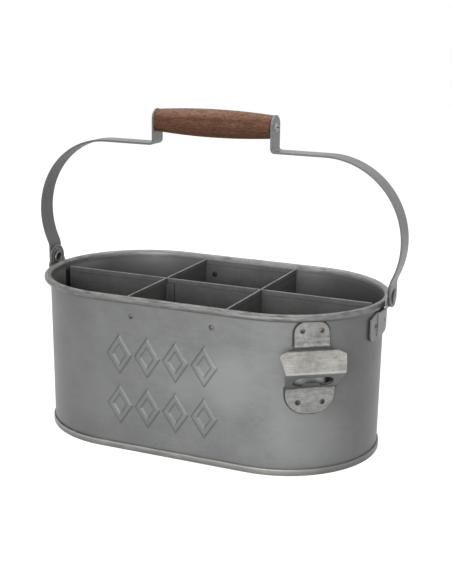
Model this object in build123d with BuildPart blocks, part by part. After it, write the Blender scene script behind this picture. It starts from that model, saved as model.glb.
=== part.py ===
"""An oblong sheet-metal bottle caddy.

The tub is a rolled wall with a wired rim and a floor seamed on at the foot. Two folded cell frames are
riveted inside the wall and hold one long divider between them, which makes six compartments. A strap
handle with a turned wooden grip swings on two rivets, and a stamped bottle opener is riveted to the front
of the right-hand end. Origin: centre of the tub on the surface it stands on, +X along the tub to the
right, -Y the front, +Z up. Millimetres.
"""
import os
from math import asin, atan2, cos, degrees, radians, sin, sqrt, tan

from build123d import *

# Tub: overall size over the wired rim
rim_length = 360.0
rim_width = 204.0
rim_height = 157.0
wall_taper = 1.9            # how far the wall leans out on each side, foot to rim
sheet = 0.7                 # zinc sheet of the wall, the floor and the dividers
bead_diameter = 7.0         # wired rim, over the curl
curl_turn = 315             # degrees that the sheet goes round the wire
foot_bend = 40.0            # easy bend where the wall leaves the upright seam

# Double seam that joins the floor to the wall
seam_height = 6.5
floor_recess = 4.0          # underside of the floor above the table
floor_lap = 8.0             # flat edge of the floor that the seam is rolled from
seam_bend = 0.8             # bend radius of the seam at mid sheet
foot_wear = 0.05            # rubbed off the underside of the seam, which leaves it flat
fold_gap = 0.3              # air inside a folded hem
lap_clearance = 0.1         # between two sheets that lie on each other
wire_clearance = 0.05

# Divider insert
divider_drop = 4.5          # top of the dividers below the top of the rim
divider_depth = 90.0
hem_height = 5.0
cross_divider_x = 52.5      # each side of the middle
long_divider_end_gap = 7.0  # from the round end of the wall
frame_tab = 9.0             # tab of the frame that lies on the long divider
frame_bend = 1.5
frame_rivet_x = 42.0
frame_rivet_drop = 16.0     # below the top of the dividers

# Small rivets
rivet_head_radius = 2.4
rivet_head_height = 0.8
rivet_bore_radius = 0.8
rivet_bore_depth = 1.0
rivet_shank_radius = 1.5
rivet_end_radius = 2.2
rivet_end_height = 0.8
shank_clearance = 0.05
seat_clearance = 0.05

# Ear brackets, one on each round end
bracket_sheet = 1.4
wing_half_width = 24.0
wing_height = 27.6
wing_drop = 2.4             # top of the wings below the rim's bead
wing_chamfer = 5.1          # height of the slope from the wing's edge up to the rib
wing_lap = 1.0              # how far the wings run on behind the rib beside the jog
wing_corner = 6.0
wing_shoulder_round = 2.0
rib_half_width = 9.0
rib_rise = 0.5              # how far the pressed rib stands proud of the wings
rib_foot = 3.0              # where the rib starts, above the bottom of the wings
bracket_bend = 2.5
jog_drop = 2.1              # start of the jog below the top of the wings
jog_height = 6.5
ear_radius = 13.0
ear_gap = 2.6               # from the rim to the ear
bracket_rivet_reach = 12.5
bracket_rivet_rise = 13.5   # above the bottom of the wings

# Handle straps
pivot_rise = 3.8            # pivot above the top of the rim
strap_width = 20.0
strap_sheet = 2.0
strap_clearance = 0.3       # between the strap and the ear, and under the rivet's head
bow_radius = 77.0           # at mid strap
bow_bulge = 9.0             # how far the bow stands out past the upright leg
shoulder_drop = 23.0        # level shoulder of the strap below the grip's axis
reverse_radius = 15.0       # where the bow turns back into the upright leg
tab_bend = 3.5
tab_over_grip = 11.5        # from the grip's axis to the top of the tab

# Pivot rivets
pivot_shank_radius = 3.0
pivot_bore_radius = 2.0
pivot_head_radius = 6.25
pivot_head_height = 2.0
pivot_roll_radius = 1.1
pivot_flare_rise = 0.3      # where the bore starts to flare, outside the ear's inner face
pivot_running_clearance = 0.08

# Wooden grip and its screws
grip_rise = 151.2           # grip's axis above the pivot
grip_length = 124.0
grip_middle_radius = 13.75
grip_end_radius = 11.0
grip_edge_round = 1.5
screw_head_radius = 4.25
screw_head_height = 2.2
screw_shank_radius = 2.2
screw_length = 32.0
screw_point = 4.0

# Bottle opener, with its heights taken from the hood's lip
opener_turn = 35.8          # degrees round the right end, from the front
opener_sheet = 2.0
opener_bend = 2.2
lip_drop = 43.0             # lip below the rim's bead
lip_reach = 20.0            # how far the lip stands out from the wall
lip_half_width = 28.2
opener_tab_half_width = 16.3
opener_tab_corner = 11.0
tab_rise = 26.0             # where the flat of the upper tab ends
roll_rise = 23.4            # ridge rolled across the foot of the tab
roll_reach = 4.2
roll_bend = 1.4
neck_rise = 20.4            # crease between the ridge and the hood
neck_reach = 2.6
neck_round = 3.0
step_rise = 16.0            # end of the first bend of the hood
step_reach = 6.0            # how far the hood stands out there
shoulder_rise = 13.5        # widest place of the hood
shoulder_half_width = 31.4
shoulder_round = 1.5
fold_fall = 19.0            # where the underside comes back to the wall
fold_half_width = 23.4
foot_fall = 44.7            # bottom of the lower tab
foot_half_width = 22.8
foot_corner = 19.0
mouth_width = 37.6
mouth_depth = 16.0
mouth_from_fold = 2.6
tooth_half_width = 8.5
tooth_rise = 5.0
upper_rivet_reach = 9.0
upper_rivet_drop = 8.5      # below the top of the upper tab
lower_rivet_reach = 11.5
lower_rivet_rise = 10.7     # above the bottom of the lower tab

# How far cutters run past what they cut, and plates past their outline
overrun = 5.0
turn_overrun = 2            # degrees

# Worked out: the tub
half_straight = (rim_length - rim_width) / 2
bead_radius = bead_diameter / 2
bead_reach = rim_width / 2 - bead_radius
bead_height = rim_height - bead_radius
curl_radius = bead_radius - sheet / 2
lean = degrees(atan2(wall_taper, rim_height))
lean_slope = tan(radians(lean))
fold_step = sheet + fold_gap
wall_top_reach = bead_reach - curl_radius * cos(radians(lean))
wall_top_height = bead_height + curl_radius * sin(radians(lean))
foot_bend_height = foot_bend * sin(radians(lean))
foot_bend_reach = foot_bend * (1 - cos(radians(lean)))
side_height = wall_top_height - seam_height - foot_bend_height
foot_reach = wall_top_reach - side_height * lean_slope - foot_bend_reach
bead_bottom = rim_height - bead_diameter
end_axis = Axis((half_straight, 0, 0), (0, 0, 1))
half_turn = (0, 0, 180)


def outer_radius(height):
    """Reach of the wall's outer face from the line of the straight sides, or from the end's centre."""
    return wall_top_reach - (wall_top_height - height) * lean_slope + sheet / 2 / cos(radians(lean))


def inner_radius(height):
    """Reach of the wall's inner face at a height."""
    return outer_radius(height) - sheet / cos(radians(lean))


def section_plane(turn):
    """The upright plane through the right end's centre: x outward at a turn from +X, y up."""
    outward = Vector(cos(radians(turn)), sin(radians(turn)), 0)
    return Plane(origin=(half_straight, 0, 0), x_dir=outward, z_dir=outward.cross(Vector(0, 0, 1)))


def wall_plane(centre_x, turn, height, stand_off=0):
    """The plane on the wall's outer face, or off it: z straight out of the wall, x along it, y up."""
    outward = Vector(cos(radians(turn)), sin(radians(turn)), 0)
    normal = outward * cos(radians(lean)) - Vector(0, 0, sin(radians(lean)))
    foot = Vector(centre_x, 0, height) + outward * outer_radius(height)
    along = Vector(-sin(radians(turn)), cos(radians(turn)), 0)
    return Plane(origin=foot + normal * stand_off, x_dir=along, z_dir=normal)


def carry_round(section):
    """Carry a section of reach and height round the oblong plan: two straight sides, two round ends."""
    with BuildPart() as half:
        with BuildSketch(section_plane(-90)):
            add(section)
        extrude(amount=2 * half_straight)
        with BuildSketch(section_plane(-90)):
            add(section)
        revolve(axis=end_axis, revolution_arc=180)
    with BuildPart() as ring:
        add(half.part)
        add(half.part, rotation=half_turn)
    return ring.part


# Rivet places on the wall
front = -90
back = 90
divider_top = rim_height - divider_drop
frame_rivet_height = divider_top - frame_rivet_drop
wing_top = bead_bottom - wing_drop
wing_bottom = wing_top - wing_height
bracket_rivet_height = wing_bottom + bracket_rivet_rise
opener_top = bead_bottom - lap_clearance
lip_height = bead_bottom - lip_drop
opener_bottom = lip_height - foot_fall
upper_rivet_height = opener_top - upper_rivet_drop
lower_rivet_height = opener_bottom + lower_rivet_rise
front_frame_places = [wall_plane(side * frame_rivet_x, front, frame_rivet_height) for side in (-1, 1)]
back_frame_places = [wall_plane(side * frame_rivet_x, back, frame_rivet_height) for side in (-1, 1)]


def end_places(middle_turn, reach, height, stand_off):
    """Two places on the right end, each side of a turn, off the wall by a plate's thickness."""
    spread = degrees(asin(reach / outer_radius(height)))
    return [wall_plane(half_straight, middle_turn + side * spread, height, stand_off) for side in (-1, 1)]


opener_middle = front + opener_turn
opener_stand_off = lap_clearance + opener_sheet
opener_upper_places = end_places(opener_middle, upper_rivet_reach, upper_rivet_height, opener_stand_off)
opener_lower_places = end_places(opener_middle, lower_rivet_reach, lower_rivet_height, opener_stand_off)
wall_rivet_places = front_frame_places + back_frame_places + opener_upper_places + opener_lower_places
bracket_stand_off = lap_clearance + bracket_sheet
bracket_places = end_places(0, bracket_rivet_reach, bracket_rivet_height, bracket_stand_off)
rivet_hole_radius = rivet_shank_radius + shank_clearance
with BuildPart() as bracket_holes:
    with Locations(*bracket_places):
        Cylinder(rivet_hole_radius, 2 * overrun)

# Tub wall: a hem folded out at the foot, the leaning side, and the curl over the wire
seam_floor = sheet + lap_clearance
hem_turn_height = seam_floor + sheet / 2 + fold_step / 2
hem_edge_height = seam_height - sheet - seam_bend
with BuildSketch() as wall_section:
    with BuildLine():
        Line((foot_reach + fold_step, hem_edge_height), (foot_reach + fold_step, hem_turn_height))
        CenterArc((foot_reach + fold_step / 2, hem_turn_height), fold_step / 2, 0, -180)
        Line((foot_reach, hem_turn_height), (foot_reach, seam_height))
        easy = CenterArc((foot_reach + foot_bend, seam_height), foot_bend, 180, -lean)
        Line(easy @ 1, (wall_top_reach, wall_top_height))
        CenterArc((bead_reach, bead_height), curl_radius, 180 - lean, -curl_turn)
    trace(line_width=sheet)
wall_ring = carry_round(wall_section.sketch)
with BuildPart() as tub_wall:
    add(wall_ring)
    with Locations(*wall_rivet_places):
        Cylinder(rivet_hole_radius, 2 * overrun, mode=Mode.SUBTRACT)
    add(bracket_holes.part, mode=Mode.SUBTRACT)
    add(bracket_holes.part, rotation=half_turn, mode=Mode.SUBTRACT)

# Rim wire: steel wire that the wall's edge is curled over
with BuildSketch() as wire_section:
    with Locations((bead_reach, bead_height)):
        Circle(bead_radius - sheet - wire_clearance)
wire_ring = carry_round(wire_section.sketch)
with BuildPart() as rim_wire:
    add(wire_ring)

# Floor pan: a flat sheet whose edge goes down inside the wall, under its hem and up outside it
skirt_reach = foot_reach - sheet - lap_clearance
band_reach = foot_reach + sheet + fold_step + lap_clearance
with BuildSketch() as seam_section:
    with BuildLine():
        FilletPolyline(
            (skirt_reach - floor_lap, floor_recess + sheet / 2),
            (skirt_reach, floor_recess + sheet / 2),
            (skirt_reach, sheet / 2 - foot_wear),
            (band_reach, sheet / 2 - foot_wear),
            (band_reach, seam_height - sheet / 2),
            (foot_reach + sheet / 2 + lap_clearance, seam_height - sheet / 2),
            radius=seam_bend,
        )
    trace(line_width=sheet)
seam_ring = carry_round(seam_section.sketch)
with BuildPart() as floor_pan:
    with BuildSketch(Plane.XY.offset(floor_recess)):
        SlotCenterToCenter(2 * half_straight, 2 * (skirt_reach - floor_lap / 2))
    extrude(amount=sheet)
    add(seam_ring)
    with BuildSketch(Plane.XY):
        Rectangle(rim_length, rim_width)
    extrude(amount=-overrun, mode=Mode.SUBTRACT)

# Long divider: one sheet down the middle with its top edge hemmed towards the front
divider_bottom = divider_top - divider_depth
hem_crown = divider_top - sheet / 2 - fold_step / 2
long_divider_half = half_straight + inner_radius(divider_top) - long_divider_end_gap
with BuildPart() as long_divider:
    with BuildSketch(Plane.YZ):
        with BuildLine():
            Line((0, divider_bottom), (0, hem_crown))
            CenterArc((-fold_step / 2, hem_crown), fold_step / 2, 0, 180)
            Line((-fold_step, hem_crown), (-fold_step, divider_top - hem_height))
        trace(line_width=sheet)
    extrude(amount=long_divider_half, both=True)

# Cell frame: one strip folded into a wall panel, two half dividers and two tabs, with a hemmed top
tab_reach_y = sheet + lap_clearance
notch_reach = fold_step + sheet / 2 + lap_clearance


def frame_ribbon(height):
    """Plan of the frame at a height: tab, half divider, panel on the wall, half divider, tab."""
    wall_y = inner_radius(height) - lap_clearance - sheet / 2
    tab_x = cross_divider_x - frame_tab
    with BuildSketch(Plane.XY.offset(height)) as ribbon:
        with BuildLine():
            FilletPolyline(
                (-tab_x, -tab_reach_y),
                (-cross_divider_x, -tab_reach_y),
                (-cross_divider_x, -wall_y),
                (cross_divider_x, -wall_y),
                (cross_divider_x, -tab_reach_y),
                (tab_x, -tab_reach_y),
                radius=frame_bend,
            )
        trace(line_width=sheet)
    return ribbon.sketch


def hem_ribbon(height, inset, thickness):
    """Plan of the hem at a height, set in from the frame's own line, without the tabs."""
    wall_y = inner_radius(height) - lap_clearance - sheet / 2 - inset
    hem_x = cross_divider_x - inset
    with BuildSketch(Plane.XY.offset(height)) as ribbon:
        with BuildLine():
            FilletPolyline(
                (-hem_x, -notch_reach),
                (-hem_x, -wall_y),
                (hem_x, -wall_y),
                (hem_x, -notch_reach),
                radius=frame_bend - inset,
            )
        trace(line_width=thickness)
    return ribbon.sketch


frame_low = frame_ribbon(divider_bottom)
frame_high = frame_ribbon(divider_top)
hem_low = hem_ribbon(divider_top - hem_height, fold_step, sheet)
hem_high = hem_ribbon(divider_top, fold_step, sheet)
crown_low = hem_ribbon(divider_top - sheet, fold_step / 2, fold_step + sheet)
crown_high = hem_ribbon(divider_top, fold_step / 2, fold_step + sheet)
with BuildPart() as front_cell_frame:
    loft([frame_low.face(), frame_high.face()], ruled=True)
    loft([hem_low.face(), hem_high.face()], ruled=True)
    loft([crown_low.face(), crown_high.face()], ruled=True)
    with BuildSketch(Plane.XY.offset(divider_top - hem_height - lap_clearance)):
        Rectangle(2 * cross_divider_x + 2 * overrun, 2 * notch_reach)
    extrude(amount=hem_height + overrun, mode=Mode.SUBTRACT)
    with Locations(*front_frame_places):
        Cylinder(rivet_hole_radius, 2 * overrun, mode=Mode.SUBTRACT)
with BuildPart() as back_cell_frame:
    add(front_cell_frame.part, rotation=half_turn)


def small_rivet(grip):
    """A small rivet on the Z axis: low hollow head above zero, shank through the grip, set end below it."""
    with BuildPart() as rivet:
        with BuildSketch(Plane.XZ):
            with BuildLine():
                TangentArc((rivet_bore_radius, rivet_head_height), (rivet_head_radius, 0), tangent=(1, 0))
                Polyline(
                    (rivet_head_radius, 0),
                    (rivet_shank_radius, 0),
                    (rivet_shank_radius, -grip - seat_clearance),
                    (rivet_end_radius, -grip - seat_clearance),
                    (rivet_end_radius, -grip - seat_clearance - rivet_end_height / 2),
                    (rivet_shank_radius, -grip - seat_clearance - rivet_end_height),
                    (0, -grip - seat_clearance - rivet_end_height),
                    (0, -rivet_bore_depth),
                    (rivet_bore_radius, -rivet_bore_depth),
                    (rivet_bore_radius, rivet_head_height),
                )
            make_face()
        revolve(axis=Axis.Z)
    return rivet.part


# Rivets of the cell frames, two through the front wall and two through the back
frame_rivet = small_rivet(sheet + lap_clearance + sheet)
with BuildPart() as front_frame_rivets:
    with Locations(*front_frame_places):
        add(frame_rivet)
with BuildPart() as back_frame_rivets:
    with Locations(*back_frame_places):
        add(frame_rivet)

# Ear bracket: wings that follow the round end, and a rib that jogs out over the rim into the ear
ear_reach = rim_width / 2 + ear_gap + bracket_sheet / 2
wing_turn = degrees(asin(wing_half_width / outer_radius(wing_top))) + turn_overrun
jog_foot = wing_top - jog_drop
pivot_height = rim_height + pivot_rise


def plate_face(height, depth):
    """A point of the section of a plate that lies on the wall."""
    return (outer_radius(height) + lap_clearance + depth, height)


def rib_point(height):
    """A point at mid sheet of the rib, which stands proud of the wings."""
    return plate_face(height, rib_rise + bracket_sheet / 2)


with BuildPart() as bracket_wings:
    with BuildSketch(section_plane(-wing_turn)):
        Polygon(
            plate_face(wing_bottom - overrun, 0),
            plate_face(wing_bottom - overrun, bracket_sheet),
            plate_face(wing_top + overrun, bracket_sheet),
            plate_face(wing_top + overrun, 0),
            align=None,
        )
    revolve(axis=end_axis, revolution_arc=2 * wing_turn)
    with BuildSketch(Plane.YZ):
        with BuildLine():
            FilletPolyline(
                (-wing_half_width, wing_bottom),
                (wing_half_width, wing_bottom),
                (wing_half_width, wing_top - wing_chamfer),
                (rib_half_width - wing_lap, wing_top),
                (wing_lap - rib_half_width, wing_top),
                (-wing_half_width, wing_top - wing_chamfer),
                radius=[wing_corner, wing_corner, wing_shoulder_round, 0, 0, wing_shoulder_round],
                close=True,
            )
        make_face()
    extrude(amount=rim_length, mode=Mode.INTERSECT)
    with BuildSketch(Plane.YZ):
        with Locations((0, wing_top)):
            Rectangle(2 * (rib_half_width - wing_lap), 2 * wing_chamfer)
    extrude(amount=rim_length, mode=Mode.SUBTRACT)
with BuildPart() as bracket_rib:
    with BuildSketch(section_plane(0)):
        with BuildLine():
            FilletPolyline(
                rib_point(wing_bottom + rib_foot),
                rib_point(jog_foot),
                (ear_reach, jog_foot + jog_height),
                (ear_reach, pivot_height + ear_radius),
                radius=bracket_bend,
            )
        trace(line_width=bracket_sheet)
    extrude(amount=ear_radius, both=True)
    with BuildSketch(Plane.YZ):
        with Locations((0, pivot_height)):
            Circle(ear_radius)
        with Locations((0, (wing_bottom + pivot_height) / 2)):
            Rectangle(2 * rib_half_width, pivot_height - wing_bottom)
    extrude(amount=rim_length, mode=Mode.INTERSECT)
pivot_plane = Plane(origin=(half_straight + ear_reach, 0, pivot_height), z_dir=(1, 0, 0))
with BuildPart() as right_ear_bracket:
    add(bracket_wings.part)
    add(bracket_rib.part)
    add(bracket_holes.part, mode=Mode.SUBTRACT)
    with Locations(pivot_plane):
        Cylinder(pivot_shank_radius + shank_clearance, 2 * bracket_sheet, mode=Mode.SUBTRACT)
with BuildPart() as left_ear_bracket:
    add(right_ear_bracket.part, rotation=half_turn)

# Rivets of the ear brackets, one through each wing
bracket_rivet = small_rivet(bracket_sheet + lap_clearance + sheet)
with BuildPart() as right_bracket_rivets:
    with Locations(*bracket_places):
        add(bracket_rivet)
with BuildPart() as left_bracket_rivets:
    add(right_bracket_rivets.part, rotation=half_turn)

# Handle strap: leg on the pivot, reverse bend, bow, level shoulder, and the tab that holds the grip
leg_reach = half_straight + ear_reach + bracket_sheet / 2 + strap_clearance + strap_sheet / 2
grip_height = pivot_height + grip_rise
shoulder_height = grip_height - shoulder_drop
bow_centre_height = shoulder_height - bow_radius
bow_centre_x = leg_reach + bow_bulge - bow_radius
centre_gap_x = leg_reach + reverse_radius - bow_centre_x
leg_top = bow_centre_height - sqrt((bow_radius + reverse_radius) ** 2 - centre_gap_x**2)
reverse_turn = degrees(atan2(bow_centre_height - leg_top, centre_gap_x))
tab_x = grip_length / 2 + strap_sheet / 2
tab_top = grip_height + tab_over_grip
strap_end_radius = strap_width / 2
with BuildPart() as right_handle_strap:
    with BuildSketch(Plane.XZ):
        with BuildLine():
            Line((leg_reach, pivot_height - strap_end_radius), (leg_reach, leg_top))
            CenterArc((leg_reach + reverse_radius, leg_top), reverse_radius, 180, -reverse_turn)
            CenterArc((bow_centre_x, bow_centre_height), bow_radius, -reverse_turn, 90 + reverse_turn)
            Line((bow_centre_x, shoulder_height), (tab_x + tab_bend, shoulder_height))
            CenterArc((tab_x + tab_bend, shoulder_height + tab_bend), tab_bend, 270, -90)
            Line((tab_x, shoulder_height + tab_bend), (tab_x, tab_top))
        trace(line_width=strap_sheet)
    extrude(amount=strap_end_radius, both=True)
    with BuildSketch(Plane.YZ.offset(leg_reach)):
        with Locations((0, pivot_height - strap_end_radius)):
            Rectangle(strap_width + overrun, strap_width)
        with Locations((0, pivot_height)):
            Circle(strap_end_radius, mode=Mode.SUBTRACT)
    extrude(amount=strap_sheet, both=True, mode=Mode.SUBTRACT)
    with BuildSketch(Plane.YZ.offset(tab_x)):
        with Locations((0, tab_top)):
            Rectangle(strap_width + overrun, strap_width)
        with Locations((0, tab_top - strap_end_radius)):
            Circle(strap_end_radius, mode=Mode.SUBTRACT)
    extrude(amount=strap_sheet, both=True, mode=Mode.SUBTRACT)
    with Locations(Plane(origin=(leg_reach, 0, pivot_height), z_dir=(1, 0, 0))):
        Cylinder(pivot_shank_radius + pivot_running_clearance, 2 * strap_sheet, mode=Mode.SUBTRACT)
    with Locations(Plane(origin=(tab_x, 0, grip_height), z_dir=(1, 0, 0))):
        Cylinder(screw_shank_radius + shank_clearance, 2 * strap_sheet, mode=Mode.SUBTRACT)
with BuildPart() as left_handle_strap:
    add(right_handle_strap.part, rotation=half_turn)

# Pivot rivet: domed head outside the strap, hollow end rolled over inside the ear
strap_outer_x = leg_reach + strap_sheet / 2
ear_inner_x = half_straight + ear_reach - bracket_sheet / 2
pivot_head_x = strap_outer_x + strap_clearance
pivot_grip = pivot_head_x - ear_inner_x + seat_clearance
pivot_roll_reach = pivot_head_radius - pivot_roll_radius
with BuildPart() as pivot_rivet:
    with BuildSketch(Plane.XZ):
        with BuildLine():
            TangentArc((0, pivot_head_height), (pivot_head_radius, 0), tangent=(1, 0))
            Polyline(
                (pivot_head_radius, 0),
                (pivot_shank_radius, 0),
                (pivot_shank_radius, -pivot_grip),
                (pivot_roll_reach, -pivot_grip),
                (pivot_roll_reach, -pivot_grip - pivot_roll_radius),
                (pivot_roll_reach - pivot_roll_radius, -pivot_grip - pivot_roll_radius),
                (pivot_bore_radius, pivot_flare_rise - pivot_grip),
                (pivot_bore_radius, -strap_sheet),
                (0, pivot_bore_radius - strap_sheet),
                (0, pivot_head_height),
            )
        make_face()
        with Locations((pivot_roll_reach, -pivot_grip - pivot_roll_radius)):
            Circle(pivot_roll_radius)
    revolve(axis=Axis.Z)
with BuildPart() as right_pivot_rivet:
    with Locations(Plane(origin=(pivot_head_x, 0, pivot_height), z_dir=(1, 0, 0))):
        add(pivot_rivet.part)
with BuildPart() as left_pivot_rivet:
    add(right_pivot_rivet.part, rotation=half_turn)

# Wooden grip: a turned barrel between the two tabs, bored at both ends for the screws
grip_half = grip_length / 2 - seat_clearance
bore_depth = screw_length - strap_sheet + seat_clearance
right_edge = (grip_half, grip_end_radius)
left_edge = (-grip_half, grip_end_radius)
grip_axis = Axis((0, 0, grip_height), (1, 0, 0))
right_end = Plane(origin=(grip_half, 0, grip_height), z_dir=(1, 0, 0))
left_end = Plane(origin=(-grip_half, 0, grip_height), z_dir=(-1, 0, 0))
with BuildPart() as wooden_grip:
    with BuildSketch(Plane(origin=(0, 0, grip_height), x_dir=(1, 0, 0), z_dir=(0, -1, 0))):
        with BuildLine():
            ThreePointArc(left_edge, (0, grip_middle_radius), right_edge)
            Polyline(right_edge, (grip_half, 0), (-grip_half, 0), left_edge)
        make_face()
    revolve(axis=grip_axis)
    fillet(edges().filter_by(GeomType.CIRCLE), radius=grip_edge_round)
    with Locations(right_end, left_end):
        Hole(screw_shank_radius + shank_clearance, depth=bore_depth)

# Grip screws: round heads on the tabs, shanks in the wood
with BuildPart() as grip_screw:
    with BuildSketch(Plane.XZ):
        with BuildLine():
            TangentArc((0, screw_head_height), (screw_head_radius, 0), tangent=(1, 0))
            Polyline(
                (screw_head_radius, 0),
                (screw_shank_radius, 0),
                (screw_shank_radius, screw_point - screw_length),
                (0, -screw_length),
                (0, screw_head_height),
            )
        make_face()
    revolve(axis=Axis.Z)
tab_outer_x = tab_x + strap_sheet / 2
with BuildPart() as right_grip_screw:
    with Locations(Plane(origin=(tab_outer_x, 0, grip_height), z_dir=(1, 0, 0))):
        add(grip_screw.part)
with BuildPart() as left_grip_screw:
    add(right_grip_screw.part, rotation=half_turn)

# Bottle opener: one stamped plate with curved tabs on the wall and a folded hood between them
opener_section = section_plane(opener_middle)
opener_reach = outer_radius(lip_height)
opener_across = opener_section.z_dir * -1
opener_face = Plane(
    origin=opener_section.from_local_coords((opener_reach, 0, 0)),
    x_dir=opener_across,
    z_dir=opener_section.x_dir,
)
tab_height = lip_height + tab_rise
neck_height = lip_height + neck_rise
fold_height = lip_height - fold_fall
underside_slope = fold_fall / (lip_reach - opener_sheet)
underside_run = lip_reach + overrun


def hood_point(reach, height):
    """A point at mid sheet of the hood, given where its outer face stands out from the wall."""
    return (opener_reach + lap_clearance + reach - opener_sheet / 2, height)


def tab_section(low, high):
    """Section of a curved tab that lies on the leaning wall."""
    inner_face = [plate_face(high, 0), plate_face(low, 0)]
    return [plate_face(low, opener_sheet), plate_face(high, opener_sheet)] + inner_face


with BuildPart() as opener_hood:
    with BuildSketch(opener_section):
        with BuildLine():
            FilletPolyline(
                hood_point(opener_sheet, tab_height + neck_round),
                hood_point(opener_sheet, tab_height),
                hood_point(roll_reach, lip_height + roll_rise),
                hood_point(neck_reach, neck_height),
                hood_point(step_reach, lip_height + step_rise),
                hood_point(lip_reach, lip_height),
                hood_point(lip_reach - underside_run, lip_height - underside_run * underside_slope),
                radius=[opener_bend, roll_bend, roll_bend, opener_bend, opener_bend],
            )
        trace(line_width=opener_sheet)
    extrude(amount=shoulder_half_width + overrun, both=True)
tab_turn = degrees(asin(fold_half_width / outer_radius(fold_height))) + turn_overrun
with BuildPart() as opener_tabs:
    with BuildSketch(section_plane(opener_middle - tab_turn)):
        Polygon(*tab_section(opener_bottom - overrun, fold_height), align=None)
        Polygon(*tab_section(neck_height, opener_top + overrun), align=None)
    revolve(axis=end_axis, revolution_arc=2 * tab_turn)
with BuildPart() as wall_clearance:
    with BuildSketch(section_plane(0)):
        Polygon((0, 0), plate_face(0, 0), plate_face(rim_height, 0), (0, rim_height), align=None)
    revolve(axis=end_axis)

# The mouth lies in the underside of the hood, with a tooth that rises from its edge near the wall
underside_length = sqrt(fold_fall**2 + (lip_reach - opener_sheet) ** 2)
outward_share = (lip_reach - opener_sheet) / underside_length
upward_share = fold_fall / underside_length
mouth_middle = mouth_from_fold + mouth_depth / 2
mouth_origin = opener_section.from_local_coords(
    (
        opener_reach + lap_clearance + opener_sheet + mouth_middle * outward_share,
        fold_height + mouth_middle * upward_share,
        0,
    )
)
mouth_normal = opener_section.x_dir * upward_share - Vector(0, 0, outward_share)
mouth_plane = Plane(origin=mouth_origin, x_dir=opener_across, z_dir=mouth_normal)
with BuildPart() as bottle_opener:
    add(opener_hood.part)
    add(opener_tabs.part)
    add(wall_clearance.part, mode=Mode.SUBTRACT)
    with BuildSketch(opener_face):
        with BuildLine():
            FilletPolyline(
                (-opener_tab_half_width, opener_top),
                (opener_tab_half_width, opener_top),
                (opener_tab_half_width, neck_height),
                (shoulder_half_width, lip_height + shoulder_rise),
                (lip_half_width, lip_height),
                (fold_half_width, fold_height),
                (foot_half_width, opener_bottom),
                (-foot_half_width, opener_bottom),
                (-fold_half_width, fold_height),
                (-lip_half_width, lip_height),
                (-shoulder_half_width, lip_height + shoulder_rise),
                (-opener_tab_half_width, neck_height),
                radius=[
                    opener_tab_corner,
                    opener_tab_corner,
                    neck_round,
                    shoulder_round,
                    0,
                    0,
                    foot_corner,
                    foot_corner,
                    0,
                    0,
                    shoulder_round,
                    neck_round,
                ],
                close=True,
            )
        make_face()
    extrude(amount=lip_reach + overrun, both=True, mode=Mode.INTERSECT)
    with BuildSketch(mouth_plane):
        SlotOverall(mouth_width, mouth_depth)
        with Locations((0, -mouth_depth / 2)):
            Ellipse(tooth_half_width, tooth_rise, mode=Mode.SUBTRACT)
    extrude(amount=opener_sheet + opener_sheet / 2, both=True, mode=Mode.SUBTRACT)
    with Locations(*opener_upper_places, *opener_lower_places):
        Cylinder(rivet_hole_radius, 2 * overrun, mode=Mode.SUBTRACT)

# Rivets of the opener, two through each tab
opener_rivet = small_rivet(opener_sheet + lap_clearance + sheet)
with BuildPart() as opener_upper_rivets:
    with Locations(*opener_upper_places):
        add(opener_rivet)
with BuildPart() as opener_lower_rivets:
    with Locations(*opener_lower_places):
        add(opener_rivet)

pieces = {
    "tub_wall": tub_wall,
    "rim_wire": rim_wire,
    "floor_pan": floor_pan,
    "long_divider": long_divider,
    "front_cell_frame": front_cell_frame,
    "back_cell_frame": back_cell_frame,
    "front_frame_rivets": front_frame_rivets,
    "back_frame_rivets": back_frame_rivets,
    "left_ear_bracket": left_ear_bracket,
    "right_ear_bracket": right_ear_bracket,
    "left_bracket_rivets": left_bracket_rivets,
    "right_bracket_rivets": right_bracket_rivets,
    "left_pivot_rivet": left_pivot_rivet,
    "right_pivot_rivet": right_pivot_rivet,
    "left_handle_strap": left_handle_strap,
    "right_handle_strap": right_handle_strap,
    "wooden_grip": wooden_grip,
    "left_grip_screw": left_grip_screw,
    "right_grip_screw": right_grip_screw,
    "bottle_opener": bottle_opener,
    "opener_upper_rivets": opener_upper_rivets,
    "opener_lower_rivets": opener_lower_rivets,
}
os.makedirs("parts", exist_ok=True)
for name, piece in pieces.items():
    piece.part.label = name
    export_step(piece.part, f"parts/{name}.step")
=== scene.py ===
"""The looks of a sheet-metal bottle caddy on its CAD frame. In metres: +X right, -Y front, +Z up."""

from math import atan2, cos, radians, sin

import bmesh
import bpy
import numpy as np
from mathutils import Matrix, Vector


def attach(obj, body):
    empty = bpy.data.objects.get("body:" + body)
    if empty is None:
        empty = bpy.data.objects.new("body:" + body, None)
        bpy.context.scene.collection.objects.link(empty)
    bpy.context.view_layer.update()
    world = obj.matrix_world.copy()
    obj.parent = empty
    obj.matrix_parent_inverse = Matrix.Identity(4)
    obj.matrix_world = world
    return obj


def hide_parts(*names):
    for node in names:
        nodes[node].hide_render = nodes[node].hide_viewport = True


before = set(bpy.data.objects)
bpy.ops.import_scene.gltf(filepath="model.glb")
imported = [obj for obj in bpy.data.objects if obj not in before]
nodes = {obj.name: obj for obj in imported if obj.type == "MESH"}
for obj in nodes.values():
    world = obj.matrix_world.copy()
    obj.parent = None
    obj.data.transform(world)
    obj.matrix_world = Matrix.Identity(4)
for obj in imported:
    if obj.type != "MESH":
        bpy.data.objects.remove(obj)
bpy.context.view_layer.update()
mm = 0.001

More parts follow.
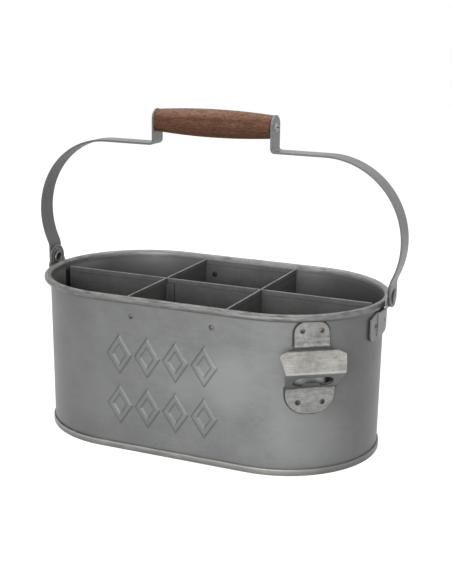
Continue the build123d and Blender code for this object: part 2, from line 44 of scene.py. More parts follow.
# Camera: a long lens, in front of the caddy, to the right and a little above it.
# It stands still, and looks at the caddy as a buyer would from across a table.
camera_place = Vector((482.07, -1044.67, 442.67)) * mm
camera_azimuth = radians(24.144)
camera_elevation = radians(14.576)
camera_roll = radians(0.682)
camera_focal = 72.97
film_width = 36
nearest_seen = 0.05
farthest_seen = 100
camera_back = Vector(
    (
        sin(camera_azimuth) * cos(camera_elevation),
        -cos(camera_azimuth) * cos(camera_elevation),
        sin(camera_elevation),
    )
)
camera_level = Vector((cos(camera_azimuth), sin(camera_azimuth), 0))
camera_upward = camera_back.cross(camera_level)
camera_right = camera_level * cos(camera_roll) + camera_upward * sin(camera_roll)
camera_up = camera_upward * cos(camera_roll) - camera_level * sin(camera_roll)
lens = bpy.data.cameras.new("camera")
lens.lens = camera_focal
lens.sensor_width = film_width
lens.clip_start = nearest_seen
lens.clip_end = farthest_seen
camera = bpy.data.objects.new("camera", lens)
bpy.context.scene.collection.objects.link(camera)
camera_axes = Matrix((camera_right, camera_up, camera_back)).transposed()
camera.matrix_world = Matrix.Translation(camera_place) @ camera_axes.to_4x4()
bpy.context.scene.camera = camera
bpy.context.scene.view_settings.view_transform = "Standard"

# Light and floor: a wide soft box above, a smaller and stronger one in front at the height of the tub, and
# a plain floor. The world and the floor show white to the camera and in the metal, and the floor keeps the
# caddy's shadow.
white = (1, 1, 1, 1)
horizon_light = 0.14
zenith_gain = 0.31
horizon_height = -0.1
zenith_height = 0.9
floor_reach = 60.0
floor_lift = 0.72
floor_pale = (0.75, 0.75, 0.75, 1)
floor_dim = (0.25, 0.25, 0.25, 1)


class Paint:
    """A material's nodes, or one socket of them. Sums written with a socket add the Math nodes for them."""

    def __init__(self, tree, socket=None):
        self.tree = tree
        self.socket = socket

    def node(self, kind, settings, values, output=0):
        """Add a node: its settings first, then the values or links of its sockets. Gives back one output."""
        made = self.tree.nodes.new(kind)
        for name, setting in settings.items():
            setattr(made, name, setting)
        for name, value in values.items():
            if isinstance(value, Paint):
                self.tree.links.new(value.socket, made.inputs[name])
            else:
                made.inputs[name].default_value = value
        socket = made.outputs[output] if len(made.outputs) else None
        return Paint(self.tree, socket)

    def maths(self, operation, other=0.0, other_first=False):
        """A Math node on this socket and another value, which comes first where that is asked."""
        first, second = (other, self) if other_first else (self, other)
        return self.node("ShaderNodeMath", {"operation": operation}, {0: first, 1: second})

    def __add__(self, other):
        return self.maths("ADD", other)

    def __sub__(self, other):
        return self.maths("SUBTRACT", other)

    def __rsub__(self, other):
        return self.maths("SUBTRACT", other, other_first=True)

    def __mul__(self, other):
        return self.maths("MULTIPLY", other)

    def __abs__(self):
        return self.maths("ABSOLUTE")

    __radd__ = __add__
    __rmul__ = __mul__


def between(value, low, high):
    """0 where the value is below low, 1 above high, and a smooth step between them."""
    ends = {0: value, 1: low, 2: high}
    return value.node("ShaderNodeMapRange", {"interpolation_type": "SMOOTHSTEP"}, ends)


def seen_directly(paint):
    """1 for the camera's own rays and for what shows in metal or glass, 0 for soft light."""
    camera_ray = paint.node("ShaderNodeLightPath", {}, {}, "Is Camera Ray")
    glossy_ray = paint.node("ShaderNodeLightPath", {}, {}, "Is Glossy Ray")
    clear_ray = paint.node("ShaderNodeLightPath", {}, {}, "Is Transmission Ray")
    kept = {"operation": "ADD", "use_clamp": True}
    return paint.node("ShaderNodeMath", kept, {0: camera_ray + glossy_ray, 1: clear_ray})


def soft_box(name, stand, aim, width, height, power):
    """A rectangular lamp that stands at one point and faces another."""
    data = bpy.data.lights.new(name, "AREA")
    data.shape = "RECTANGLE"
    data.size = width
    data.size_y = height
    data.energy = power
    lamp = bpy.data.objects.new(name, data)
    bpy.context.scene.collection.objects.link(lamp)
    facing = (Vector(aim) - Vector(stand)).to_track_quat("-Z", "Y")
    lamp.matrix_world = Matrix.Translation(stand) @ facing.to_matrix().to_4x4()


def new_object(name, mesh):
    """An object for a mesh, at the origin and in the scene."""
    made = bpy.data.objects.new(name, mesh)
    bpy.context.scene.collection.objects.link(made)
    return made


def new_paint(name):
    """A new material with no nodes, and the Paint that adds them."""
    material = bpy.data.materials.new(name)
    material.use_nodes = True
    material.node_tree.nodes.clear()
    return material, Paint(material.node_tree)


world = bpy.data.worlds.new("studio")
bpy.context.scene.world = world
world.use_nodes = True
world.node_tree.nodes.clear()
air = Paint(world.node_tree)
sky_way = air.node("ShaderNodeTexCoord", {}, {}, "Generated")
sky_height = air.node("ShaderNodeSeparateXYZ", {}, {0: sky_way}, "Z")
soft_light = horizon_light + between(sky_height, horizon_height, zenith_height) * zenith_gain
sky_seen = seen_directly(air)
sky_light = sky_seen + (1 - sky_seen) * soft_light
sky = air.node("ShaderNodeBackground", {}, {"Color": white, "Strength": sky_light})
air.node("ShaderNodeOutputWorld", {}, {"Surface": sky})

soft_box("top_box", stand=(-0.1, 0.3, 1.5), aim=(0, 0, 0.15), width=1.5, height=1.1, power=8)
soft_box("front_box", stand=(0.21, -1.48, 0.45), aim=(0, 0, 0.08), width=1.0, height=0.6, power=17)

floor_mesh = bpy.data.meshes.new("floor")
floor_corners = [(x * floor_reach, y * floor_reach, 0) for x, y in ((-1, -1), (1, -1), (1, 1), (-1, 1))]
floor_mesh.from_pydata(floor_corners, [], [(0, 1, 2, 3)])
floor = new_object("floor", floor_mesh)
floor_paint, ground = new_paint("pale_floor")
shadow_side = ground.node("ShaderNodeBsdfDiffuse", {}, {"Color": floor_pale})
lift = ground.node("ShaderNodeEmission", {}, {"Color": white, "Strength": floor_lift})
bright_side = ground.node("ShaderNodeAddShader", {}, {0: shadow_side, 1: lift})
dim_side = ground.node("ShaderNodeBsdfDiffuse", {}, {"Color": floor_dim})
floor_mix = ground.node("ShaderNodeMixShader", {}, {0: seen_directly(ground), 1: dim_side, 2: bright_side})
ground.node("ShaderNodeOutputMaterial", {}, {"Surface": floor_mix})
floor.data.materials.append(floor_paint)

# Tub wall: one strip of galvanised sheet, rolled to an oblong and lapped at the middle of the left end,
# its top edge curled over a steel wire. The front is pressed with two rows of plain lozenges. The zinc
# has aged to a smooth grey, a little green, and the rolled rim is stained brown in places.
sheet = 0.7 * mm
half_straight = 78 * mm
tub_height = 157 * mm
lean_out = 1.9 * mm
lean = atan2(lean_out, tub_height)
wall_bottom = 1.0 * mm
seam_height = 6.5 * mm
bead_radius = 3.5 * mm
bead_reach = 98.5 * mm
bead_height = 153.5 * mm
curl_radius = bead_radius - sheet / 2
curl_turn = radians(315)
dent_depth = 0.1 * mm
dent_turns = (3, 5, 8, 11, 15, 19)
dent_rises = (18, 55)
lap_width = 8.2 * mm
lap_lift = 0.35 * mm
lap_edge = 0.006
lap_margin = 0.01
lap_past = 1.15
lozenge_x = np.array([-55, -25, 5, 35]) * mm
lozenge_z = np.array([46.5, 97.5]) * mm
lozenge_half = (13.6 * mm, 20.0 * mm)
press_depth = 1.1 * mm
press_band = (0.48, 0.56, 0.92, 1.0)
outer_groove = (0.9, 0.98, 1.01, 1.09)
inner_groove = (0.46, 0.51, 0.56, 0.62)
# How strongly the inner groove round each lozenge is painted darker, a painted shade, against the outer one.
inner_groove_shade = 0.7
chance = np.random.default_rng(4)

# The wall's grid is fine where the lozenges are: how far that part reaches, and the steps across and down.
# Elsewhere it has these columns round the plan, and these rows up the inner face and down the outer one.
fine_left, fine_right, fine_step = -70 * mm, 52 * mm, 0.78 * mm
fine_top, fine_foot, fine_drop = 120 * mm, 24 * mm, 0.8 * mm
left_columns = 6
right_step = 3 * mm
end_columns = 76
lap_columns = 15
back_columns = 30
inner_rows = 22
curl_rows = 32
curl_inner_rows = 8
top_rows = 20
foot_rows = 14


def wall_reach(height):
    """Mid sheet of the wall: a line that leans out from the foot to the top."""
    top = bead_height + curl_radius * sin(lean)
    return bead_reach - curl_radius * cos(lean) - (top - height) * np.tan(lean)


def oblong(front, right_end, back, left_end):
    """Stations round the oblong plan, anticlockwise from the front left, from places along X on the sides
    and turns on the ends. Gives the x of each station's centre, its turn from +X, and how far along the plan
    it is, as a share."""
    centre = np.concatenate(
        [front, np.full(len(right_end), half_straight), back, np.full(len(left_end), -half_straight)]
    )
    turn = np.concatenate(
        [np.full(len(front), -np.pi / 2), right_end, np.full(len(back), np.pi / 2), left_end]
    )
    steps = np.hypot(np.diff(centre), np.diff(turn) * bead_reach)
    share = np.concatenate([[0], np.cumsum(steps)])
    return centre, turn, share / (share[-1] + steps[-1])


def step(value, low, high):
    """0 below low, 1 above high, and a smooth step between them."""
    t = np.clip((value - low) / (high - low), 0, 1)
    return t * t * (3 - 2 * t)


def band(value, start, full, fading, gone):
    """1 from full to fading, 0 before start and after gone, with smooth steps between."""
    return step(value, start, full) * (1 - step(value, fading, gone))


def surface(name, points, round_first=False, round_second=False):
    """A mesh over a grid of points, whose rows or columns may close on themselves."""
    rows, columns = points.shape[:2]
    index = np.arange(rows * columns).reshape(rows, columns)
    if round_first:
        index = np.vstack([index, index[:1]])
    if round_second:
        index = np.hstack([index, index[:, :1]])
    corners = [index[:-1, :-1], index[:-1, 1:], index[1:, 1:], index[1:, :-1]]
    faces = np.stack(corners, axis=-1).reshape(-1, 4)
    mesh = bpy.data.meshes.new(name)
    mesh.vertices.add(rows * columns)
    mesh.vertices.foreach_set("co", points.reshape(-1).astype(np.float32))
    mesh.loops.add(faces.size)
    mesh.loops.foreach_set("vertex_index", faces.reshape(-1).astype(np.int32))
    mesh.polygons.add(len(faces))
    mesh.polygons.foreach_set("loop_start", np.arange(0, faces.size, 4, dtype=np.int32))
    mesh.polygons.foreach_set("use_smooth", np.ones(len(faces), bool))
    mesh.update(calc_edges=True)
    mesh.validate()
    return new_object(name, mesh)


def mark_points(piece, name, values):
    """Give each point of a mesh a number that its material can read."""
    layer = piece.data.attributes.new(name, "FLOAT", "POINT")
    layer.data.foreach_set("value", values.reshape(-1).astype(np.float32))


def lozenge_distance(x, z):
    """Distance from the nearest lozenge's middle along its axes, which is 1 on its outline."""
    dx = np.abs(x[..., None, None] - lozenge_x[:, None]) / lozenge_half[0]
    dz = np.abs(z[..., None, None] - lozenge_z[None, :]) / lozenge_half[1]
    return (dx + dz).min(axis=(-1, -2))


def dents(share, height):
    """Shallow waves of hand-worked sheet: a few sines round the plan, each times one up the wall."""
    waves = np.zeros(np.broadcast(share, height).shape)
    for turns in dent_turns:
        first, second, third = chance.uniform(0, 2 * np.pi, 3)
        rise = chance.uniform(*dent_rises)
        waves += np.sin(2 * np.pi * turns * share + first) * np.sin(rise * height + second + np.sin(third))
    return waves / len(dent_turns)


def wall_section(rise, fall):
    """The closed section of the wall: up its inner face, round the outside of the curl, back round its
    inside, and down the outer face. Gives reach, height, which points lie on a face of the wall, and
    which of these on its inner face."""
    curl = np.pi - lean - np.linspace(0, curl_turn, curl_rows)
    back = np.pi - lean - np.linspace(curl_turn, 0, curl_inner_rows)
    big, small = curl_radius + sheet / 2, curl_radius - sheet / 2
    reach = np.concatenate(
        [
            wall_reach(rise) - sheet / 2,
            bead_reach + big * np.cos(curl),
            bead_reach + small * np.cos(back),
            wall_reach(fall) + sheet / 2,
        ]
    )
    height = np.concatenate(
        [rise, bead_height + big * np.sin(curl), bead_height + small * np.sin(back), fall]
    )
    on_curl = np.zeros(curl_rows + curl_inner_rows)
    on_sheet = np.concatenate([np.ones(len(rise)), on_curl, np.ones(len(fall))])
    inner = np.concatenate([np.ones(len(rise)), on_curl, np.zeros(len(fall))])
    return reach, height, on_sheet, inner


front_x = np.concatenate(
    [
        np.linspace(-half_straight, fine_left, left_columns, endpoint=False),
        np.arange(fine_left, fine_right, fine_step),
        np.arange(fine_right + 0.5 * mm, half_straight - 1 * mm, right_step),
    ]
)
lap_turn = lap_width / bead_reach
end_turn = np.linspace(-np.pi / 2, np.pi / 2, end_columns, endpoint=False)
near_lap = np.pi - np.linspace(-lap_margin, lap_past * lap_turn, lap_columns)
left_turn = np.unique(np.concatenate([end_turn + np.pi, near_lap]))
back_x = np.linspace(half_straight, -half_straight, back_columns, endpoint=False)
centre, turn, share = oblong(front_x, end_turn, back_x, left_turn)
rise = np.linspace(wall_bottom, bead_height, inner_rows, endpoint=False)
fall = np.concatenate(
    [
        np.linspace(bead_height, fine_top, top_rows),
        np.arange(fine_top - fine_drop, fine_foot + 1 * mm, -fine_drop),
        np.linspace(fine_foot, wall_bottom, foot_rows),
    ]
)
reach, height, on_sheet, inner = wall_section(rise, fall)
plan_x = centre[None, :] + reach[:, None] * np.cos(turn)[None, :]
tall = np.repeat(height[:, None], len(turn), axis=1)
outer_front = np.isclose(turn, -np.pi / 2)[None, :] * (on_sheet * (1 - inner))[:, None]

# The wall's reach grows where the distance off a lozenge lies in a band and by the dents, which fade out
# towards the foot and the rim, and shrinks a little where the lap lies inside.
off = lozenge_distance(plan_x, tall)
pressed = band(off, *press_band) * outer_front
# Where the outer face is painted darker round each lozenge, a painted shade in its grooves.
groove = (band(off, *outer_groove) + inner_groove_shade * band(off, *inner_groove)) * outer_front
fade = band(tall, seam_height, 3 * seam_height, bead_height - 4 * bead_radius, bead_height - bead_radius)
worked = dents(share[None, :], height[:, None]) * fade * on_sheet[:, None] * dent_depth
lapped = band(np.pi - turn, -lap_edge, 0, lap_turn, lap_turn + lap_edge)[None, :] * inner[:, None]
wall_reaches = reach[:, None] + pressed * press_depth + worked - lapped * lap_lift
wall_x = centre[None, :] + wall_reaches * np.cos(turn)[None, :]
wall_y = wall_reaches * np.sin(turn)[None, :]
wall = surface("rolled_wall", np.stack([wall_x, wall_y, tall], axis=-1), round_first=True, round_second=True)
mark_points(wall, "groove", groove)
mark_points(wall, "inside", np.repeat(inner[:, None], len(turn), axis=1))
# Where the lap lies; the wall's material paints it near black, a painted shadow.
mark_points(wall, "lap", lapped)

# What lies on the wall and leaves its mark there: the two rivets of the front cell frame, with stains round
# them, and the opener, which stands on the round right end and whose shadows and the light under its hood
# are painted on the wall. Each of its tabs has half its width, the radius of its corners, the height of its
# end, the height of its fold, and 1 if it points up or -1 if down. Here and below, a pair of sizes says where
# a mark starts to fade and where it is gone.
frame_rivet_x = 42 * mm
frame_rivet_z = 136.5 * mm
opener_turn = radians(-54.2)
opener_wall = 95.14 * mm
opener_tabs = (
    (16.3 * mm, 11.0 * mm, 149.9 * mm, 126.5 * mm, 1),
    (22.9 * mm, 19.0 * mm, 62.3 * mm, 87.2 * mm, -1),
)
# How far out from a tab's edge its painted shadow on the wall starts to fade, and where it is gone.
tab_gap = (0.8 * mm, 2.0 * mm)

# Two pale patches on the front, painted light where it falls brightest: the place of each along X and Z, and
# how strong it is.
painted_light_patches = ((60 * mm, 86 * mm, 0.6), (128 * mm, 38 * mm, 0.5))
patch_radius = (12 * mm, 42 * mm)

# The stain round each front rivet: its side, how strong it is, and its colour.
rivet_stains = ((-1, 0.5, (0.05, 0.045, 0.04, 1)), (1, 0.8, (0.1, 0.06, 0.035, 1)))
rim_stain = (0.085, 0.075, 0.06, 1)


def place(paint, middle=(0, 0, 0), turned=0.0):
    """Where a point lies on the piece, from a middle and turned about the upright."""
    where = paint.node("ShaderNodeTexCoord", {}, {}, "Object")
    seat = {"Vector": where, "Location": middle, "Rotation": (0, 0, turned)}
    return paint.node("ShaderNodeMapping", {"vector_type": "TEXTURE"}, seat)


def along(where, axis):
    """The distance of a place along X, Y or Z."""
    return where.node("ShaderNodeSeparateXYZ", {}, {0: where}, axis)


def marked(paint, name):
    """The number that the points of the mesh carry."""
    return paint.node("ShaderNodeAttribute", {"attribute_name": name}, {}, "Fac")


def below(value, full, gone):
    """1 where the value is below full, 0 above gone, and a smooth step between them."""
    return 1 - between(value, full, gone)


def within(value, start, full, fading, gone):
    """1 where the value is from full to fading, 0 before start and after gone, with smooth steps between."""
    return between(value, start, full) * below(value, fading, gone)


def larger(first, second):
    """The larger of two values."""
    return first.maths("MAXIMUM", second)


def distance(first, second):
    """How far off a point is, from how far off it is in two directions at a right angle."""
    return (first * first + second * second).maths("SQRT")


def ring(first, second, inner, outer):
    """1 inside a circle of a radius, fading to 0 at another, from two distances off its middle."""
    return below(distance(first, second), inner, outer)


def cloud(where, size, detail=3.0, coarse=0.5):
    """Cloudy noise, with the size of its patches along each axis in millimetres."""
    closer = {0: where, 1: tuple(1 / (length * mm) for length in size)}
    squeezed = where.node("ShaderNodeVectorMath", {"operation": "MULTIPLY"}, closer)
    looks = {"Vector": squeezed, "Scale": 1.0, "Detail": detail, "Roughness": coarse}
    return where.node("ShaderNodeTexNoise", {}, looks)


def blend(part, first, second):
    """The first colour where part is 0, the second where it is 1."""
    return part.node("ShaderNodeMix", {"data_type": "RGBA"}, {0: part, 6: first, 7: second}, 2)


def layered(colour, *layers):
    """A colour with others laid over it in turn. A layer is where it lies, how strong it is, its colour."""
    for part, strength, over in layers:
        colour = blend(part * strength, colour, over)
    return colour


def grey(value, warm=0.0):
    """The faintly green grey of zinc, warmer or cooler by a share."""
    return (value * (0.97 + warm), value, value * (0.98 - warm), 1)


def coat(paint, colour, roughness, metallic, grain, grain_height, shine=0.5):
    """The surface itself: a metal or wood with its colour, its roughness and a fine bump."""
    bump = paint.node("ShaderNodeBump", {}, {"Height": grain, "Distance": grain_height, "Strength": 1.0})
    looks = {
        "Base Color": colour,
        "Roughness": roughness,
        "Metallic": metallic,
        "Specular IOR Level": shine,
        "Normal": bump,
    }
    body = paint.node("ShaderNodeBsdfPrincipled", {}, looks)
    paint.node("ShaderNodeOutputMaterial", {}, {"Surface": body})


def dress(piece, material):
    """Put one material on a piece in place of what it had."""
    piece.data.materials.clear()
    piece.data.materials.append(material)


def zinc(name, dark, pale, roughness, warm=0.0, metallic=0.7, line=(30, 30, 1.2), marks=None):
    """Aged zinc sheet: broad clouds, small blotches, fine rubbed lines and bright specks, with any marks."""
    material, paint = new_paint(name)
    where = place(paint)
    broad = cloud(where, (60, 60, 50), 2.0)
    small = cloud(where, (9, 9, 6), 4.0, 0.6)
    lines = cloud(where, line, 3.0, 0.6)
    fine = cloud(where, (1.1, 1.1, 0.8), 2.0, 0.7)
    tone = between(broad * 0.38 + small * 0.22 + lines * 0.15 + fine * 0.25, 0.38, 0.62)
    pale_cloud = between(broad, 0.56, 0.7)
    specks = between(fine * 0.6 + small * 0.4, 0.6, 0.74)
    colour = layered(
        blend(tone, grey(dark, warm), grey(pale, warm)),
        (pale_cloud, 0.3, grey(pale * 1.15, warm)),
        (specks, 0.2, grey(pale * 1.2, warm)),
    )
    rough = roughness + (small - 0.5) * 0.12 + (lines - 0.5) * 0.08
    if marks:
        colour, rough = marks(where, colour, rough, small)
    coat(paint, colour, rough, metallic, lines * 0.4 + fine * 0.6, 0.04 * mm)
    return material


def tarnish_and_shading(where, colour, inside, small):
    """A duller, bluer inside; painted shade that darkens the left part, the right end, and the outside
    towards both ends; painted light on the inside of the left end, below the rim; painted shade on the inside
    of the right end;
    and pale patches on the front, painted light where it falls brightest.
    """
    x, y, z = (along(where, axis) for axis in "XYZ")
    outside = 1 - inside
    left_part = below(x, -90 * mm, -10 * mm)
    right_part = between(x, 120 * mm, 160 * mm)
    far_ends = between(abs(x), 150 * mm, 174 * mm) * outside
    inner_left_end = below(x, -172 * mm, -150 * mm) * between(z, 128 * mm, 150 * mm) * inside
    inner_right_back = between(x, 40 * mm, 110 * mm) * between(y, -40 * mm, 40 * mm) * inside
    # Painted shade on the left part, the right end and the outside's ends; painted light inside the left end;
    # painted shade inside the right end.
    colour = layered(
        colour,
        (inside, 0.85, blend(small, grey(0.157, 0.008), grey(0.238, 0.008))),
        (left_part, 0.36, grey(0.1)),
        (right_part, 0.2, grey(0.1)),
        (far_ends, 0.22, grey(0.08)),
        (inner_left_end, 0.6, grey(0.42)),
        (inner_right_back, 0.55, grey(0.07)),
    )
    # Pale patches on the front: painted light where the front is brightest.
    on_front = below(y, -30 * mm, -10 * mm) * outside
    for patch_x, patch_z, strength in painted_light_patches:
        patch = ring(x - patch_x, z - patch_z, *patch_radius)
        colour = layered(colour, (patch * on_front, strength, grey(0.3)))
    return colour


def rim_tone(where):
    """The rolled rim: streaks along it, a painted highlight at the back, painted shade on the lower half of
    the bead, a worn crest painted bright as a highlight too, and painted shade on the left.
    """
    x, y, z = (along(where, axis) for axis in "XYZ")
    streak = cloud(where, (12, 12, 1.6), 3.0, 0.6)
    # The back painted paler, a painted highlight; the bead's lower half painted darker, a painted shade; the
    # crest painted paler where worn, partly a painted highlight; the left part painted darker, a painted
    # shade.
    back = between(y, 20 * mm, 80 * mm)
    underside = below(z, 150.8 * mm, 153.6 * mm)
    crest = between(z, 154.6 * mm, 156.6 * mm) * between(streak, 0.3, 0.6)
    left_part = below(x, -90 * mm, -10 * mm)
    return layered(
        blend(between(streak, 0.35, 0.65), grey(0.13, 0.045), grey(0.24, 0.015)),
        (back, 0.4, grey(0.42, 0.01)),
        (underside, 0.5, grey(0.05, 0.03)),
        (crest, 0.3, grey(0.4, 0.01)),
        (left_part, 0.1, grey(0.07, 0.02)),
    )


def behind_opener(paint, colour, outside):
    """Painted shadow round each tab of the opener, painted light on the wall under its hood, and painted
    shadow on the wall at the right end of its mouth.
    """
    local = place(paint, (half_straight, 0, 0), opener_turn)
    out, side, z = (along(local, axis) for axis in "XYZ")
    across = abs(side)
    near = between(out, 80 * mm, 85 * mm) * outside
    for half_width, corner, end, fold, way in opener_tabs:
        past_side = larger(across - (half_width - corner), 0.0)
        past_end = larger((z - (end - way * corner)) * way, 0.0)
        # A near-black line on the wall round each tab: a painted shadow of the gap behind its edge.
        contour = ring(past_side, past_end, corner + tab_gap[0], corner + tab_gap[1])
        beyond_fold = between((z - fold) * way, -1.0 * mm, 0.5 * mm)
        colour = layered(colour, (contour * beyond_fold * near, 0.92, grey(0.012)))
    # The wall under the hood is painted pale, a painted light, and the wall at the right end of the mouth
    # near black, a painted shadow.
    under_hood = within(z, 88 * mm, 90 * mm, 108 * mm, 110 * mm) * below(across, 17 * mm, 19 * mm)
    mouth_end = within(side, 11.5 * mm, 16 * mm, 25 * mm, 27 * mm)
    mouth_end = mouth_end * within(z, 83 * mm, 85 * mm, 99 * mm, 101 * mm)
    return layered(colour, (under_hood * near, 1.0, grey(0.33)), (mouth_end * near, 1.0, grey(0.008)))


def wall_marks(where, colour, rough, small):
    """Tarnish and painted shading, a stained rim with painted light and shade, dirt and painted shade under
    it and above the foot, painted shade in the lap and round the lozenges, the opener's painted shadows and
    light, and rust round the two front rivets."""
    x, y, z = (along(where, axis) for axis in "XYZ")
    inside = marked(where, "inside")
    rim = between(z, bead_height - 2.6 * mm, bead_height - 1.2 * mm)
    rim_stains = between(cloud(where, (20, 20, 4), 4.0, 0.65), 0.54, 0.68) * rim
    # Under the rim and above the foot the outside is painted darker, dirt and painted shade together, fainter
    # to the right.
    under_rim = within(z, 147.5 * mm, 150.4 * mm, 150.6 * mm, 152.0 * mm)
    fainter_right = between(x, -120 * mm, -60 * mm) * 0.65
    above_foot = below(z, seam_height, seam_height + 3 * mm) * (1 - fainter_right)
    grime_and_shade = between(small, 0.25, 0.6) * 0.7
    colour = layered(
        tarnish_and_shading(where, colour, inside, small),
        # The lap painted near black: a painted shadow of the gap there.
        (marked(where, "lap"), 1.0, grey(0.012)),
        # Darker round the lozenges: a painted shade in the grooves.
        (marked(where, "groove"), 0.35 + small * 0.5, grey(0.05)),
        (rim, 0.85, rim_tone(where)),
        (rim_stains, 0.6, rim_stain),
        ((under_rim * 0.8 + above_foot) * (1 - inside), grime_and_shade, grey(0.045, 0.06)),
    )
    colour = behind_opener(where, colour, 1 - inside)
    front_face = below(y, -94 * mm, -90 * mm)
    for way, strength, stain in rivet_stains:
        spot = ring(x - way * frame_rivet_x, z - frame_rivet_z, 2.3 * mm, 3.4 * mm) * front_face
        colour = layered(colour, (spot * between(small, 0.3, 0.6), strength, stain))
    return colour, rough - rim * 0.02 + grime_and_shade * (under_rim + above_foot) * 0.15


wall_zinc = zinc("aged_zinc_wall", dark=0.152, pale=0.206, roughness=0.45, metallic=0.35, marks=wall_marks)
dress(wall, wall_zinc)
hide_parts("tub_wall")
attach(wall, "tub")

# Rim wire: drawn steel wire, closed inside the curl of the rim, so hardly any of it shows.
# It keeps the rim stiff.
wire_steel = zinc("drawn_wire", dark=0.2, pale=0.3, roughness=0.35, line=(4, 4, 4))
dress(nodes["rim_wire"], wire_steel)

# Floor pan: a flat sheet whose edge is rolled round the foot of the wall in a double seam.
# The seam is the bright, knocked band that the caddy stands on.
foot_stain = (0.075, 0.07, 0.06, 1)
band_crest = (4.0 * mm, 5.2 * mm, 6.0 * mm, seam_height)


def foot_marks(where, colour, rough, small):
    """Scuffs and stains along the band, paler on the right, darker towards the table and at its right end,
    with a worn crest, and dirt and painted shade where it meets the wall, stronger on the left."""
    x, z = along(where, "X"), along(where, "Z")
    scuff = between(cloud(where, (20, 20, 2), 4.0, 0.65), 0.45, 0.66)
    stain = between(cloud(where, (30, 30, 3), 4.0, 0.65), 0.56, 0.7)
    right_part = between(x, 20 * mm, 120 * mm)
    towards_table = below(z, 1.2 * mm, 5.0 * mm)
    crest = within(z, *band_crest)
    right_end = between(x, 126 * mm, 150 * mm)
    left_end = below(x, -120 * mm, -60 * mm)
    # Where the band meets the wall it is painted darker, dirt and painted shade together, more so on the
    # left.
    at_wall = between(z, 5.9 * mm, seam_height) * between(small, 0.3, 0.6)
    colour = layered(
        colour,
        (scuff, 0.6, grey(0.36, 0.03)),
        (stain, 0.5, foot_stain),
        (right_part, 0.3, grey(0.4, 0.04)),
        (towards_table, 0.5, grey(0.11, 0.03)),
        (crest, 0.35, grey(0.45, 0.03)),
        (right_end, 0.6, grey(0.1, 0.03)),
        (at_wall, left_end * 0.6 + 0.2, grey(0.05, 0.08)),
    )
    return colour, rough - scuff * 0.1


foot_zinc = zinc(
    "aged_zinc_foot", dark=0.165, pale=0.235, roughness=0.45, warm=0.035, metallic=0.35, marks=foot_marks
)
dress(nodes["floor_pan"], foot_zinc)

# Divider insert: two folded frames riveted to the wall, and one long sheet between their tabs.
# All of it is thin zinc sheet with hemmed top edges, duller and bluer than the wall outside.
divider_top = 152.4 * mm
# Heights of the painted shadow line under the hem's edge.
hem_line = (146.7 * mm, 147.3 * mm, 147.3 * mm, 147.8 * mm)
tab_end_x = 43.4 * mm


def divider_marks(where, colour, rough, small):
    """A worn line along the top edges, a painted shadow line where the hem ends, dark rings round the back
    rivets, a dark line where each tab ends on the long sheet, and faint drips."""
    x, y, z = (along(where, axis) for axis in "XYZ")
    # Where the hem's edge lies on the sheet, a near-black line: a painted shadow.
    hem_end = within(z, *hem_line)
    worn = between(z, divider_top - 0.5 * mm, divider_top)
    halo = ring(abs(x) - frame_rivet_x, z - frame_rivet_z, 2.6 * mm, 3.6 * mm) * between(y, 90 * mm, 92 * mm)
    tab_end = below(abs(abs(x) - tab_end_x), 0.3 * mm, 0.7 * mm) * below(abs(y), 1.4 * mm, 1.8 * mm)
    tab_end = tab_end * below(z, 146 * mm, 147 * mm)
    drips = between(cloud(where, (2.5, 2.5, 50), 3.0, 0.6), 0.5, 0.7)
    colour = layered(
        colour,
        (hem_end, 0.9, grey(0.02)),
        (worn * between(small, 0.2, 0.6), 0.8, grey(0.34)),
        (halo, 0.85, grey(0.02)),
        (tab_end, 0.7, grey(0.04)),
        (drips, 0.25, grey(0.1)),
    )
    return colour, rough + worn * 0.1


divider_zinc = zinc(
    "dull_zinc_dividers",
    dark=0.102,
    pale=0.152,
    roughness=0.5,
    warm=0.008,
    metallic=0.35,
    line=(40, 40, 1.5),
    marks=divider_marks,
)
for name in ("long_divider", "front_cell_frame", "back_cell_frame"):
    dress(nodes[name], divider_zinc)

# Small rivets: steel, headed outside the wall, and the first parts to rust.
# The heads are hollow, with dirt in the hollow and a film of brown in patches.
hollow_radius = (0.8 * mm, 1.2 * mm)
hollow_dirt = (0.03, 0.022, 0.018, 1)
front_middles = ((-frame_rivet_x, frame_rivet_z), (frame_rivet_x, frame_rivet_z))


def rivet_metal(name, steel, rust, rusty, middles=()):
    """Steel with rust that gathers in patches, more of it the rustier it is, and dirt in the hollow of each
    head whose middle is given."""
    material, paint = new_paint(name)
    where = place(paint)
    patch = between(cloud(where, (2.2, 2.2, 2.2), 4.0, 0.6), 0.62 - rusty, 0.72 - rusty)
    fine = cloud(where, (0.7, 0.7, 0.7), 2.0, 0.6)
    colour = layered(blend(fine, grey(steel * 0.8), grey(steel * 1.2)), (patch, 0.85, rust))
    for middle_x, middle_z in middles:
        hollow = ring(along(where, "X") - middle_x, along(where, "Z") - middle_z, *hollow_radius)
        colour = layered(colour, (hollow, 1.0, hollow_dirt))
    coat(paint, colour, 0.45 + patch * 0.35, 0.7, fine, 0.08 * mm)
    return material


front_rivets = rivet_metal("rusted_rivets", 0.14, (0.07, 0.045, 0.03, 1), rusty=0.08, middles=front_middles)
back_rivets = rivet_metal("black_rivets", 0.05, (0.03, 0.02, 0.015, 1), rusty=0.15)
tab_rivets = rivet_metal("stained_rivets", 0.15, (0.09, 0.05, 0.03, 1), rusty=0.14)
foot_rivets = rivet_metal("dark_stained_rivets", 0.13, (0.05, 0.035, 0.03, 1), rusty=0.2)
clean_rivets = rivet_metal("dull_rivets", 0.14, (0.08, 0.06, 0.045, 1), rusty=0.1)
for name, steel in (
    ("front_frame_rivets", front_rivets),
    ("back_frame_rivets", back_rivets),
    ("opener_upper_rivets", tab_rivets),
    ("opener_lower_rivets", foot_rivets),
    ("left_bracket_rivets", clean_rivets),
    ("right_bracket_rivets", clean_rivets),
):
    dress(nodes[name], steel)

